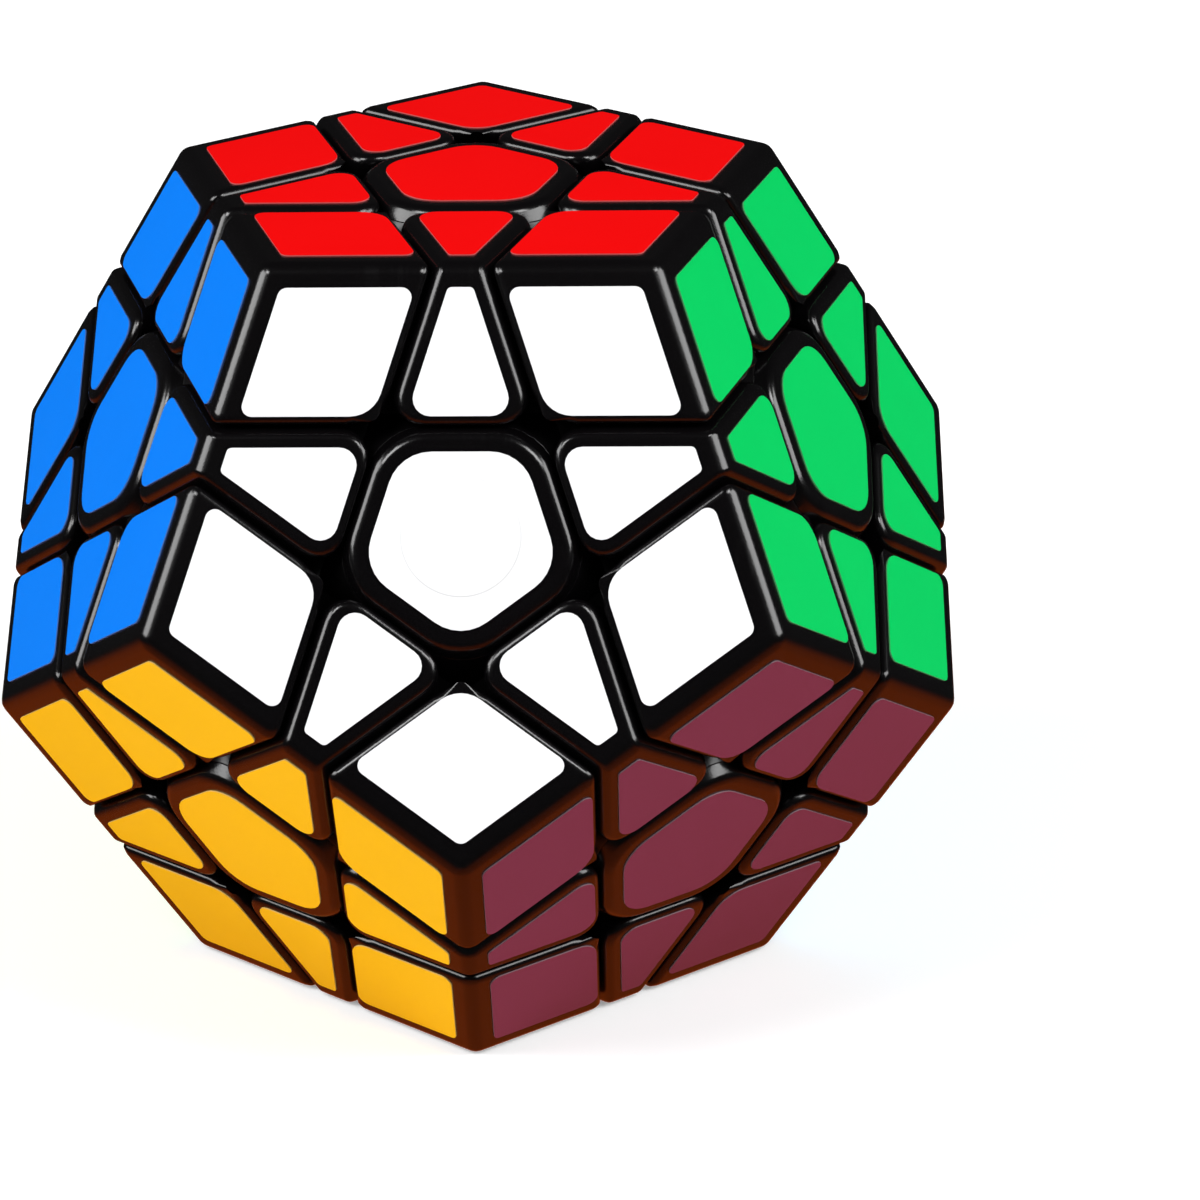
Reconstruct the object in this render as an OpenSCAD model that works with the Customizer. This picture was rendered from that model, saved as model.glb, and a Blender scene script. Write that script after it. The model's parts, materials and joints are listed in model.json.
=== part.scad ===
// Twelve-face layer-turning puzzle: a screwed core, spring-loaded centres, and edges and corners whose
// feet are trapped under their neighbours. Every cut is a surface of revolution about its face's axis,
// so a layer turns freely. Millimetres, +Z up, standing on the orange face at Z = 0.

/* [Overall] */
// Distance between opposite faces
face_to_face = 80; // [60:1:110]
// Width of an edge piece where it reaches the ridge between two faces
edge_tip_w = 3.8; // [1.5:0.1:8]
// Gap between neighbouring pieces
turning_gap = 0.3; // [0.2:0.05:0.6]

/* [Feet] */
// Half angle of the cone that cuts the necks
neck_angle = 42.5; // [41:0.5:44]
// Half angle of the cone that cuts the feet
foot_angle = 48; // [46:0.5:49]
// Height of the necks between the shells and the feet
neck_h = 2.2; // [1.6:0.1:3]
// Radial thickness of the feet
foot_h = 4.5; // [4:0.5:7]
// Height of the plug with which a foot sits in its shell
plug_h = 3; // [2:0.5:5]
// Thickness of the foot that a corner's bore leaves
foot_web = 1.5; // [1:0.5:3]

/* [Shells] */
// Wall of the hollow shells
wall = 1.2; // [1:0.1:1.6]
// Height of a corner shell's seat above the start of the necks
corner_seat_rise = 1.8; // [1.5:0.1:3]
// Height of an edge shell's seat above the start of the necks
edge_seat_rise = 1.3; // [1:0.1:2.5]
// Side clearance between a plug and its shell
plug_clearance = 0.1; // [0.05:0.05:0.3]

/* [Centres] */
// Thickness of a centre cap
cap_t = 1.6; // [1.2:0.1:2.4]
// Length of the cap's skirt inside the boss
skirt_h = 2.5; // [1.5:0.5:4]
// Wall of the cap's skirt
skirt_wall = 1; // [0.8:0.1:1.5]
// Thickness of the centre's floor, under which the edge feet run
floor_t = 1.6; // [1.2:0.1:2.4]
// Outer diameter of the centre's stem
stem_d = 10.4; // [9.8:0.1:11]
// Wall of the stem round the spring pocket
stem_wall = 1.2; // [1:0.1:1.4]
// Length of the stem below the feet
stem_reach = 8; // [6:0.5:9]
// Thickness of the stem's end, which the screw passes through
stem_end_t = 3; // [2:0.5:4]

/* [Core and screws] */
// Diameter of the core's ball
ball_d = 18; // [16:0.5:20]
// Diameter of each core arm
arm_d = 7.2; // [6:0.1:8]
// Clearance between a core arm and its centre's stem
arm_clearance = 0.3; // [0.2:0.1:0.6]
// Diameter of a tension screw
screw_d = 3; // [2.5:0.1:3.2]
// Radial clearance of the centre's bore round the screw
bore_clearance = 0.08; // [0.04:0.01:0.1]
// Radial clearance of the core's hole round the screw
thread_clearance = 0.03; // [0.02:0.01:0.1]
// Length of the screw inside the core arm
screw_grip = 7; // [5:0.5:8]
// Diameter of the screw head
head_d = 5.6; // [5:0.1:6]
// Height of the screw head
head_h = 2; // [1.5:0.1:2.5]
// Width of the slots of the cross recess
recess_w = 0.8; // [0.6:0.1:1]
// Depth of the cross recess
recess_h = 1.2; // [0.8:0.1:1.4]

/* [Springs] */
// Wire diameter
wire_d = 0.7; // [0.5:0.1:0.8]
// Mean diameter of the coil
coil_d = 5.2; // [5:0.1:6]
// Number of turns
coil_turns = 5; // [4:1:6]
// Rise of each turn
coil_pitch = 1.2; // [1:0.1:1.5]
// Gap at each end of the coil
coil_end_gap = 0.1; // [0.05:0.05:0.2]
// Thickness of the washer
washer_t = 0.6; // [0.4:0.1:0.8]
// Outer diameter of the washer
washer_d = 6.8; // [6.4:0.1:7]

/* [Hidden] */
$fn = 48;

// The twelve faces by number
RED = 0;
WHITE = 1;
GREEN = 2;
CREAM = 3;
PINK = 4;
BLUE = 5;
PURPLE = 6;
SKY = 7;
GREY = 8;
LIME = 9;
YELLOW = 10;
ORANGE = 11;
FACES = [for (i = [RED : ORANGE]) i];
TURNING = [WHITE, SKY, LIME];

// Angle between the axes of two neighbouring faces, and each face's tilt from +Z and turn about it
face_angle = atan(2);
function tilt(i) = i == RED ? 0 : i == ORANGE ? 180 : i < PURPLE ? face_angle : 180 - face_angle;
function turn(i) = i == RED || i == ORANGE ? 0 : i < PURPLE ? -90 + 72 * (i - WHITE) : -54 + 72 * (i - PURPLE);
function normal(i) = [sin(tilt(i)) * cos(turn(i)), sin(tilt(i)) * sin(turn(i)), cos(tilt(i))];
function touches(i, j) = abs(normal(i) * normal(j) - cos(face_angle)) < 0.01;
function neighbours(i) = [for (j = FACES) if (touches(i, j)) j];
// The two faces at the ends of the ridge between faces i and j
function ridge_ends(i, j) = [for (k = FACES) if (touches(i, k) && touches(j, k)) k];
function has(list, value) = len([for (v = list) if (v == value) v]) > 0;
function any_turning(list) = len([for (v = list) if (has(TURNING, v)) v]) > 0;
// Edges as pairs of faces and corners as triples, in number order
EDGES = [for (i = FACES, j = neighbours(i)) if (i < j) [i, j]];
CORNERS = [for (e = EDGES, k = ridge_ends(e[0], e[1])) if (e[1] < k) [e[0], e[1], k]];

// Sizes that follow from the driving ones
inradius = face_to_face / 2;
ridge_len = 2 * inradius * tan(face_angle / 2) * tan(36);
// Width on a face of the strip of pieces that a neighbouring layer takes
strip_w = (ridge_len - edge_tip_w) / 2 * sin(72);
cut_depth = inradius - strip_w * sin(face_angle);
neck_start_r = cut_depth / cos(neck_angle);
foot_top_r = neck_start_r - neck_h;
foot_low_r = foot_top_r - foot_h;
half_gap = turning_gap / 2;
reach = face_to_face;
// Angle that opens a cone by half a gap at the feet
gap_angle = asin(half_gap / foot_top_r);
corner_seat_r = neck_start_r + corner_seat_rise;
edge_seat_r = neck_start_r + edge_seat_rise;
// Angles from a corner's and an edge's own axis to the faces it belongs to
corner_angle = acos(sqrt((1 + 2 * cos(face_angle)) / 3));
edge_angle = face_angle / 2;
// Angle from an edge's own axis to the faces at the ends of its ridge
end_angle = acos(cos(face_angle) / cos(edge_angle));
corner_plug_r = (corner_seat_r * cos(corner_angle) - cut_depth - half_gap - wall) / sin(corner_angle);
edge_plug_r = (cut_depth - half_gap - wall - (edge_seat_r + plug_h) * cos(end_angle)) / sin(end_angle);
// Radii of a corner's neck and bore, and of an edge's post, which its block has to hold
neck_r = foot_top_r * tan(neck_angle - gap_angle - corner_angle);
corner_bore_r = neck_r - wall;
post_r = (foot_top_r * cos(edge_angle) - cut_depth - half_gap) / sin(edge_angle);
stem_low_z = foot_low_r - stem_reach;
stem_r = stem_d / 2;
pocket_r = stem_r - stem_wall;
pocket_z = stem_low_z + stem_end_t;
bore_r = screw_d / 2 + bore_clearance;
arm_len = stem_low_z - arm_clearance;
cap_z = inradius - cap_t;
floor_r = foot_top_r + turning_gap;
coil_len = coil_turns * coil_pitch + wire_d;
washer_z = pocket_z + coil_len + 2 * coil_end_gap;
head_z = washer_z + washer_t;

plastic = [0.03, 0.03, 0.035];
core_plastic = [0.1, 0.1, 0.11];
steel = [0.72, 0.72, 0.74];

// ---- Directions ----

module toward(i) {
    rotate([0, tilt(i), turn(i)]) children();
}

function sum_of(v, k = 0) = k == len(v) - 1 ? v[k] : v[k] + sum_of(v, k + 1);
function unit(v) = v / norm(v);
// The middle of the directions of the listed faces
function middle(list) = unit(sum_of([for (i = list) normal(i)]));

module toward_all(list) {
    u = middle(list);
    rotate([0, acos(u[2]), atan2(u[1], u[0])]) children();
}

// ---- Cutting shapes ----

// A square block from low to high along the present Z. Each has a width of its own, so that no two
// blocks share a side plane.
module wide_block(low, high, half_w) {
    translate([-half_w, -half_w, low]) cube([2 * half_w, 2 * half_w, high - low]);
}

// A ball about the core, with its poles square to the middle of the listed faces
module ball(list, r) {
    toward_all(list) rotate([90, 0, 0]) sphere(r = r, $fn = 96);
}

// The slab of face i from its cut to its outer plane, thinned all round by inset
module slab(i, inset) {
    toward(i) wide_block(cut_depth + half_gap + inset, inradius - inset, 0.7 * reach + i);
}

// All that lies past face i's cut, grown inwards by inset
module past_cut(i, inset) {
    toward(i) wide_block(cut_depth - half_gap - inset, 2 * reach, 1.5 * reach + i);
}

// All that lies above a height along the middle direction of the listed faces
module above(list, z) {
    toward_all(list) wide_block(z, reach, reach + 20);
}

// Half of a round sector about +Z, as a profile to turn
module sector(angle, r) {
    intersection() {
        polygon([[0, 0], [2 * reach * sin(angle), 2 * reach * cos(angle)], [0, 2 * reach]]);
        circle(r = r, $fn = 96);
    }
}

// All that lies past a plane through the core, towards vector v
module past_core(v, half_w) {
    rotate([0, acos(v[2]), atan2(v[1], v[0])]) translate([-half_w, -half_w, 0]) cube([2 * half_w, 2 * half_w, half_w]);
}

// The direction square to the ray that lies at an angle from n towards u, pointing away from n
function past_ray(n, u, angle) =
    let (w = unit(u - n * (n * u)))
    -n * sin(angle) + w * cos(angle);

// ---- Pieces ----

module corner_block(c, inset) {
    intersection() {
        slab(c[0], inset);
        slab(c[1], inset);
        slab(c[2], inset);
    }
}

module corner_shell(c) {
    intersection() {
        difference() {
            corner_block(c, 0);
            corner_block(c, wall);
        }
        above(c, corner_seat_r);
    }
}

module edge_block(e, inset) {
    difference() {
        intersection() {
            slab(e[0], inset);
            slab(e[1], inset);
        }
        for (k = ridge_ends(e[0], e[1])) past_cut(k, inset);
    }
}

module edge_shell(e) {
    intersection() {
        difference() {
            edge_block(e, 0);
            edge_block(e, wall);
        }
        above(e, edge_seat_r);
    }
}

// A round foot and neck, turned about the corner's own axis, with a shoulder that meets the shell
module corner_foot(c) {
    plug_r = corner_plug_r - plug_clearance;
    difference() {
        union() {
            difference() {
                corner_block(c, 0);
                above(c, corner_seat_r);
                toward_all(c) translate([0, 0, neck_start_r - reach]) wide_block(0, reach, reach);
            }
            toward_all(c) rotate_extrude($fn = 96) {
                difference() {
                    sector(foot_angle - gap_angle - corner_angle, foot_top_r - half_gap);
                    circle(r = foot_low_r, $fn = 96);
                }
                translate([0, foot_low_r + 1]) square([neck_r, neck_start_r - foot_low_r]);
                translate([0, neck_start_r + 0.5]) square([plug_r, corner_seat_r + plug_h - neck_start_r - 0.5]);
            }
        }
        toward_all(c) translate([0, 0, foot_low_r + foot_web]) cylinder(r = corner_bore_r, h = reach);
    }
}

// A foot under the centres, a shoulder over the corner feet and a post that joins them
module edge_foot(e) {
    u = middle(e);
    plug_r = edge_plug_r - plug_clearance;
    difference() {
        union() {
            difference() {
                toward_all(e) rotate_extrude($fn = 96) difference() {
                    sector(foot_angle - gap_angle - edge_angle, foot_top_r - half_gap);
                    circle(r = foot_low_r, $fn = 96);
                }
                for (k = ridge_ends(e[0], e[1]))
                    past_core(-past_ray(normal(k), u, foot_angle + 2 * gap_angle), 1.2 * reach + k);
            }
            difference() {
                edge_block(e, 0);
                above(e, edge_seat_r);
                toward_all(e) wide_block(0, foot_top_r + half_gap, 1.3 * reach);
                for (k = ridge_ends(e[0], e[1]))
                    past_core(-past_ray(normal(k), u, neck_angle + 2 * gap_angle), 1.4 * reach + k);
            }
            toward_all(e) translate([0, 0, foot_low_r + 1]) cylinder(r = post_r, h = edge_seat_r - foot_low_r - 1.5);
            toward_all(e) translate([0, 0, edge_seat_r - 0.8]) cylinder(r = plug_r, h = plug_h + 0.8);
        }
        toward_all(e) translate([0, 0, foot_low_r - 2]) cylinder(r = post_r - wall, h = reach);
        toward_all(e) translate([0, 0, edge_seat_r]) cylinder(r = plug_r - wall, h = reach);
    }
}

// The pentagonal block of a centre between two heights
module centre_block(i, low, high, inset) {
    difference() {
        toward(i) translate([-reach / 2, -reach / 2, low]) cube([reach, reach, high - low]);
        for (j = neighbours(i)) past_cut(j, inset);
    }
}

// A hollow pentagon over a round floor, with a stem that reaches down to the core's arm
module centre_body(i) {
    boss_low = floor_r + floor_t;
    rim_angle = face_angle - neck_angle - 2 * gap_angle;
    block_low = neck_start_r * cos(rim_angle);
    disc_low = floor_r * cos(rim_angle) - 0.5;
    difference() {
        union() {
            difference() {
                union() {
                    difference() {
                        centre_block(i, block_low, cap_z, 0);
                        centre_block(i, boss_low, cap_z + 1, wall);
                    }
                    toward(i) rotate_extrude($fn = 96) polygon([
                        [0, disc_low], [disc_low * tan(rim_angle), disc_low],
                        [block_low * tan(rim_angle), block_low],
                        [block_low * tan(rim_angle) - 0.5, block_low + 0.5], [0, block_low + 0.5]
                    ]);
                }
                ball([i], floor_r);
            }
            toward(i) translate([0, 0, stem_low_z]) cylinder(r = stem_r, h = cap_z - stem_low_z);
        }
        toward(i) translate([0, 0, pocket_z]) cylinder(r = pocket_r, h = reach);
        toward(i) translate([0, 0, stem_low_z - 1]) cylinder(r = bore_r, h = stem_end_t + 2);
    }
}

module centre_cap(i) {
    skirt_r = pocket_r - plug_clearance;
    centre_block(i, cap_z, inradius, 0);
    toward(i) translate([0, 0, cap_z - skirt_h]) difference() {
        cylinder(r = skirt_r, h = skirt_h + 0.5);
        translate([0, 0, -1]) cylinder(r = skirt_r - skirt_wall, h = skirt_h + 1);
    }
}

// Each arm runs right through to its opposite
module core() {
    color(core_plastic) difference() {
        union() {
            rotate([90, 0, 27]) sphere(d = ball_d, $fn = 96);
            for (i = [RED : BLUE]) toward(i) cylinder(d = arm_d, h = 2 * arm_len, center = true);
        }
        for (i = FACES) toward(i) translate([0, 0, arm_len - screw_grip - 0.5])
            cylinder(d = screw_d + 2 * thread_clearance, h = screw_grip + 1);
    }
}

module tension_screw(i) {
    toward(i) difference() {
        union() {
            translate([0, 0, arm_len - screw_grip]) cylinder(d = screw_d, h = head_z - arm_len + screw_grip + 0.5);
            translate([0, 0, head_z]) cylinder(d = head_d, h = head_h);
        }
        for (quarter = [0, 90]) rotate(quarter)
            translate([-head_d * 0.36, -recess_w / 2, head_z + head_h - recess_h])
                cube([head_d * 0.72, recess_w, recess_h + 1]);
    }
}

// A coil of half turns, each tilted to climb half a pitch
module coil_spring(i) {
    climb = asin(coil_pitch / 2 / coil_d);
    toward(i) translate([0, 0, pocket_z + coil_end_gap + wire_d / 2]) for (half = [0 : 2 * coil_turns - 1])
        translate([0, 0, coil_pitch / 2 * (half + 0.5)]) rotate([0, 0, 180 * half]) rotate([0, climb, 0])
            rotate_extrude(angle = 180, $fn = 48) translate([coil_d / 2, 0]) circle(d = wire_d, $fn = 16);
}

module washer(i) {
    toward(i) translate([0, 0, washer_z]) difference() {
        cylinder(d = washer_d, h = washer_t);
        translate([0, 0, -1]) cylinder(r = bore_r, h = washer_t + 2);
    }
}

// ---- Groups ----

function in_layer(pieces, i) = [for (p = pieces) if (has(p, i)) p];
function in_none(pieces) = [for (p = pieces) if (!any_turning(p)) p];

module tension_screws() { color(steel) for (i = FACES) tension_screw(i); }
module springs() { color(steel) for (i = FACES) coil_spring(i); }
module washers() { color(steel) for (i = FACES) washer(i); }
module centre(i) { color(plastic) centre_body(i); }
module cap(i) { color(plastic) centre_cap(i); }
module fixed_caps() { color(plastic) for (i = FACES) if (!has(TURNING, i)) centre_cap(i); }
module edge(i, j) { color(plastic) edge_shell([i, j]); }
module corner(i, j, k) { color(plastic) corner_shell([i, j, k]); }
module fixed_edges() { color(plastic) for (e = in_none(EDGES)) edge_shell(e); }
module fixed_corners() { color(plastic) for (c = in_none(CORNERS)) corner_shell(c); }
module edge_feet(edges) { color(plastic) for (e = edges) edge_foot(e); }
module corner_feet(corners) { color(plastic) for (c = corners) corner_foot(c); }

// Draws one piece in its place: the faces meet on the table at Z = 0
module stand() {
    translate([0, 0, inradius]) children();
}

stand() core();
stand() tension_screws();
stand() springs();
stand() washers();
stand() centre(WHITE);  // centre_white
stand() centre(SKY);  // centre_sky
stand() centre(LIME);  // centre_lime
stand() centre(RED);  // centre_red
stand() centre(GREEN);  // centre_green
stand() centre(CREAM);  // centre_cream
stand() centre(PINK);  // centre_pink
stand() centre(BLUE);  // centre_blue
stand() centre(PURPLE);  // centre_purple
stand() centre(GREY);  // centre_grey
stand() centre(YELLOW);  // centre_yellow
stand() centre(ORANGE);  // centre_orange
stand() cap(WHITE);  // cap_white
stand() cap(SKY);  // cap_sky
stand() cap(LIME);  // cap_lime
stand() fixed_caps();
stand() edge(WHITE, RED);  // edge_white_red
stand() edge(WHITE, GREEN);  // edge_white_green
stand() edge(WHITE, PURPLE);  // edge_white_purple
stand() edge(WHITE, YELLOW);  // edge_white_yellow
stand() edge(WHITE, BLUE);  // edge_white_blue
stand() corner(WHITE, RED, GREEN);  // corner_white_red_green
stand() corner(WHITE, GREEN, PURPLE);  // corner_white_green_purple
stand() corner(WHITE, PURPLE, YELLOW);  // corner_white_purple_yellow
stand() corner(WHITE, YELLOW, BLUE);  // corner_white_yellow_blue
stand() corner(WHITE, BLUE, RED);  // corner_white_blue_red
stand() edge(SKY, GREEN);  // edge_sky_green
stand() edge(SKY, CREAM);  // edge_sky_cream
stand() edge(SKY, GREY);  // edge_sky_grey
stand() edge(SKY, ORANGE);  // edge_sky_orange
stand() edge(SKY, PURPLE);  // edge_sky_purple
stand() corner(SKY, GREEN, CREAM);  // corner_sky_green_cream
stand() corner(SKY, CREAM, GREY);  // corner_sky_cream_grey
stand() corner(SKY, GREY, ORANGE);  // corner_sky_grey_orange
stand() corner(SKY, ORANGE, PURPLE);  // corner_sky_orange_purple
stand() corner(SKY, PURPLE, GREEN);  // corner_sky_purple_green
stand() edge(LIME, BLUE);  // edge_lime_blue
stand() edge(LIME, PINK);  // edge_lime_pink
stand() edge(LIME, GREY);  // edge_lime_grey
stand() edge(LIME, ORANGE);  // edge_lime_orange
stand() edge(LIME, YELLOW);  // edge_lime_yellow
stand() corner(LIME, BLUE, PINK);  // corner_lime_blue_pink
stand() corner(LIME, PINK, GREY);  // corner_lime_pink_grey
stand() corner(LIME, GREY, ORANGE);  // corner_lime_grey_orange
stand() corner(LIME, ORANGE, YELLOW);  // corner_lime_orange_yellow
stand() corner(LIME, YELLOW, BLUE);  // corner_lime_yellow_blue
stand() fixed_edges();
stand() fixed_corners();
stand() edge_feet(in_layer(EDGES, WHITE));  // white_edge_feet
stand() corner_feet(in_layer(CORNERS, WHITE));  // white_corner_feet
stand() edge_feet(in_layer(EDGES, SKY));  // sky_edge_feet
stand() corner_feet(in_layer(CORNERS, SKY));  // sky_corner_feet
stand() edge_feet(in_layer(EDGES, LIME));  // lime_edge_feet
stand() corner_feet(in_layer(CORNERS, LIME));  // lime_corner_feet
stand() edge_feet(in_none(EDGES));  // fixed_edge_feet
stand() corner_feet(in_none(CORNERS));  // fixed_corner_feet
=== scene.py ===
"""A twelve-faced twisty puzzle, dressed around its CAD frame.

Shells, caps and centres are cut from the CAD solids by rounded blocks, so that they keep every wall,
socket and skirt inside and gain moulded edges outside. Vinyl stickers, springs and finishes are added.
"""

import json
import logging
import math
from dataclasses import dataclass
from enum import Enum, IntEnum

import bmesh
import bpy
from mathutils import Matrix, Quaternion, Vector

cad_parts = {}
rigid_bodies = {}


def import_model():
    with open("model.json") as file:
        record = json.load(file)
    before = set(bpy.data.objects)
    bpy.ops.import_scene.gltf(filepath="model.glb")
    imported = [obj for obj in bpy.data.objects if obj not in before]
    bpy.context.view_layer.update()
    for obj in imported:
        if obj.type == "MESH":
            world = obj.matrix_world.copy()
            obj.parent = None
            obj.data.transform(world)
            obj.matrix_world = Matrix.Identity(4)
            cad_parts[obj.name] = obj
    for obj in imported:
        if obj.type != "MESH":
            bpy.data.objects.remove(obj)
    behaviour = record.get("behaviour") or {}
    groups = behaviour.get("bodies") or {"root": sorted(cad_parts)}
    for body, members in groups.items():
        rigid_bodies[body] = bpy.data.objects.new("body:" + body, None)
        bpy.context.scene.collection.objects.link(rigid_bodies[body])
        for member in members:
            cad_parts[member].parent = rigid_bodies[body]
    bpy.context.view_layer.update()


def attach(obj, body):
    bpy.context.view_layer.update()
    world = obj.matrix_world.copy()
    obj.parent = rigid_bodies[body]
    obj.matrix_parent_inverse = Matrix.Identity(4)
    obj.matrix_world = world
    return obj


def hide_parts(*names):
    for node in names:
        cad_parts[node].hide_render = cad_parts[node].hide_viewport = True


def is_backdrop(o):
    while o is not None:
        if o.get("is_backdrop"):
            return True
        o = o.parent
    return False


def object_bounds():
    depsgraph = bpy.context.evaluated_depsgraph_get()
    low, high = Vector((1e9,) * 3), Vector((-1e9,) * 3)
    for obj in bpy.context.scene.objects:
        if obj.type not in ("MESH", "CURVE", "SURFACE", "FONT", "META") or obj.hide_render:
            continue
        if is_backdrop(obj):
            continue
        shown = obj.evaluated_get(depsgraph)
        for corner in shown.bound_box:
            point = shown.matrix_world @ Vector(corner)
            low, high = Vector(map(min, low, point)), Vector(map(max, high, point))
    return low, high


MM = 0.001
STEP = math.radians(72)  # turn from one side of a pentagon to the next
SHARP_FROM = math.radians(38)  # edges that turn by more than this stay sharp
SLIVER = 0.0002 * MM  # edges shorter than this are dissolved
log = logging.getLogger("twisty_puzzle")


# ---- The solid and its faces ----


class Face(IntEnum):
    """The twelve faces, in the order in which the CAD source numbers them."""

    RED = 0
    WHITE = 1
    GREEN = 2
    CREAM = 3
    PINK = 4
    BLUE = 5
    PURPLE = 6
    SKY = 7
    GREY = 8
    LIME = 9
    YELLOW = 10
    ORANGE = 11

    @property
    def label(self) -> str:
        """The face's colour as it is written in node names."""
        return self.name.lower()


TURNING = (Face.WHITE, Face.SKY, Face.LIME)
FIXED_BODY = "core_and_fixed_pieces"


def body_of(faces: tuple[Face, ...]) -> str:
    """Name the body that a piece moves with.

    Args:
        faces: The faces that the piece shows.

    Returns:
        The turning layer's body if one of the faces turns, otherwise the body of the core.
    """
    for face in faces:
        if face in TURNING:
            return f"{face.label}_layer"
    return FIXED_BODY


@dataclass(frozen=True)
class Plane:
    """A half-space through which a convex block is cut.

    Attributes:
        normal: Direction that points out of the block.
        offset: Distance of the plane from the core along the normal.
        role: What the plane is to the block: "outer", "cut" or "hidden".
    """

    normal: Vector
    offset: float
    role: str


class Dodecahedron:
    """Directions and distances of the puzzle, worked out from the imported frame."""

    def __init__(self) -> None:
        """Measure the frame: the inradius, the core and both sides of the cuts."""
        low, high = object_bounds()
        self.inradius = (high[2] - low[2]) / 2
        self.core = Vector((0.0, 0.0, self.inradius))
        self.face_angle = math.atan(2)
        sample = self._vertices("edge_white_red")
        self.cut_out = min(v.dot(self.normal(Face.WHITE)) for v in sample)
        self.cut_in = max(v.dot(self.normal(Face.BLUE)) for v in sample)
        self.cap_low = max(v.dot(self.normal(Face.WHITE)) for v in self._vertices("centre_white"))
        self.edge_seat = self._seat("edge_white_red", Face.WHITE, Face.RED)
        self.corner_seat = self._seat("corner_white_red_green", Face.WHITE, Face.RED, Face.GREEN)
        self.apothem = self.inradius * math.tan(self.face_angle / 2)
        mean_cut = (self.cut_out + self.cut_in) / 2
        flat = self.inradius * math.cos(self.face_angle)
        self.cut_line = (mean_cut - flat) / math.sin(self.face_angle)

    def _vertices(self, node: str) -> list[Vector]:
        """Return a CAD node's vertices as seen from the core."""
        return [v.co - self.core for v in bpy.data.objects[node].data.vertices]

    def axis(self, *faces: Face) -> Vector:
        """Return the direction in the middle of some faces."""
        return sum((self.normal(f) for f in faces), Vector()).normalized()

    def _seat(self, node: str, *faces: Face) -> float:
        """Return the distance from the core at which a shell sits on its foot."""
        axis = self.axis(*faces)
        return min(v.dot(axis) for v in self._vertices(node))

    def normal(self, face: Face) -> Vector:
        """Return a face's outward direction."""
        if face in (Face.RED, Face.ORANGE):
            return Vector((0.0, 0.0, 1.0 if face == Face.RED else -1.0))
        upper = face < Face.PURPLE
        tilt = self.face_angle if upper else math.pi - self.face_angle
        first, start = (Face.WHITE, -90) if upper else (Face.PURPLE, -54)
        turn = math.radians(start) + STEP * (face - first)
        return Vector((math.sin(tilt) * math.cos(turn), math.sin(tilt) * math.sin(turn), math.cos(tilt)))

    def touch(self, a: Face, b: Face) -> bool:
        """Say whether two faces share a ridge."""
        return abs(self.normal(a).dot(self.normal(b)) - math.cos(self.face_angle)) < 0.01

    def neighbours(self, *faces: Face) -> list[Face]:
        """Return the faces that share a ridge with every face given."""
        return [f for f in Face if all(self.touch(f, g) for g in faces)]

    def edges(self) -> list[tuple[Face, Face]]:
        """Return the thirty ridges as pairs of faces."""
        return [(a, b) for a in Face for b in self.neighbours(a) if a < b]

    def corners(self) -> list[tuple[Face, Face, Face]]:
        """Return the twenty corners as triples of faces."""
        return [(a, b, c) for a, b in self.edges() for c in self.neighbours(a, b) if b < c]

    def across(self, face: Face, other: Face) -> Vector:
        """Return the direction within a face that points straight at a neighbour's ridge."""
        n, m = self.normal(face), self.normal(other)
        return (m - n * m.dot(n)).normalized()


# ---- Node groups and finishes ----


class Wiring:
    """Short calls that place and join nodes in one tree."""

    def __init__(self, tree: bpy.types.NodeTree) -> None:
        """Keep the tree that later calls add to."""
        self.tree = tree

    def add(self, kind: str, **values: object) -> bpy.types.Node:
        """Add a node.

        Args:
            kind: The node's type name.
            **values: Properties of the node, or names of its inputs in lower case with underscores.

        Returns:
            The new node.
        """
        node = self.tree.nodes.new(kind)
        labels = {s.name.lower().replace(" ", "_") for s in node.inputs}
        for name, value in values.items():
            if name not in labels:
                setattr(node, name, value)
        sockets = {s.name.lower().replace(" ", "_"): s for s in reversed(node.inputs)}
        for name, value in values.items():
            if name in labels:
                self.feed(sockets[name], value)
        return node

    def feed(self, socket: bpy.types.NodeSocket, value: object) -> None:
        """Link an input to the value if that is a socket, and otherwise set it."""
        if isinstance(value, bpy.types.NodeSocket):
            self.tree.links.new(value, socket)
        else:
            socket.default_value = value

    def join(self, source: bpy.types.NodeSocket, target: bpy.types.NodeSocket) -> None:
        """Link an output to an input."""
        self.tree.links.new(source, target)

    def math(self, operation: str, *terms: object) -> bpy.types.NodeSocket:
        """Add a math node and return its output.

        Args:
            operation: The node's operation.
            *terms: Numbers or sockets for its inputs, in order.

        Returns:
            The socket that holds the result.
        """
        node = self.tree.nodes.new("ShaderNodeMath")
        node.operation = operation
        for socket, term in zip(node.inputs, terms):
            self.feed(socket, term)
        return node.outputs[0]


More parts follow.
